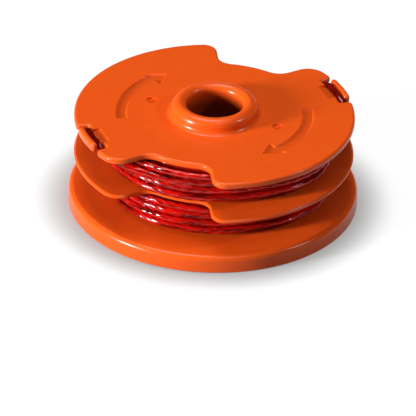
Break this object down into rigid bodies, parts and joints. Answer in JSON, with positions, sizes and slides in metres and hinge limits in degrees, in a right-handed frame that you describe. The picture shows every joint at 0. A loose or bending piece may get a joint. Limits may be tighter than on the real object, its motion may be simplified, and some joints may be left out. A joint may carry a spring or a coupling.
{
  "type": "spool of trimmer line",
  "caption": "Moulded spool with a spindle bore and notched flanges, holding red cutting line in its channels; a spare for a grass trimmer head.",
  "frame": {"origin": "on the spindle axis, level with the base rim that the spool rests on", "axes": "+Z along the spindle bore from the base flange to the notched top flange, steep ends of the notches on the Y axis"},
  "size_m": [0.066, 0.066, 0.0261],
  "materials": {
    "orange_plastic": "opaque orange injection moulding with a soft gloss",
    "red_line": "clear red twisted nylon line"
  },
  "bodies": {
    "root": {"spool_body": "orange_plastic", "lower_line_winding": "red_line", "upper_line_winding": "red_line"}
  },
  "joints": []
}
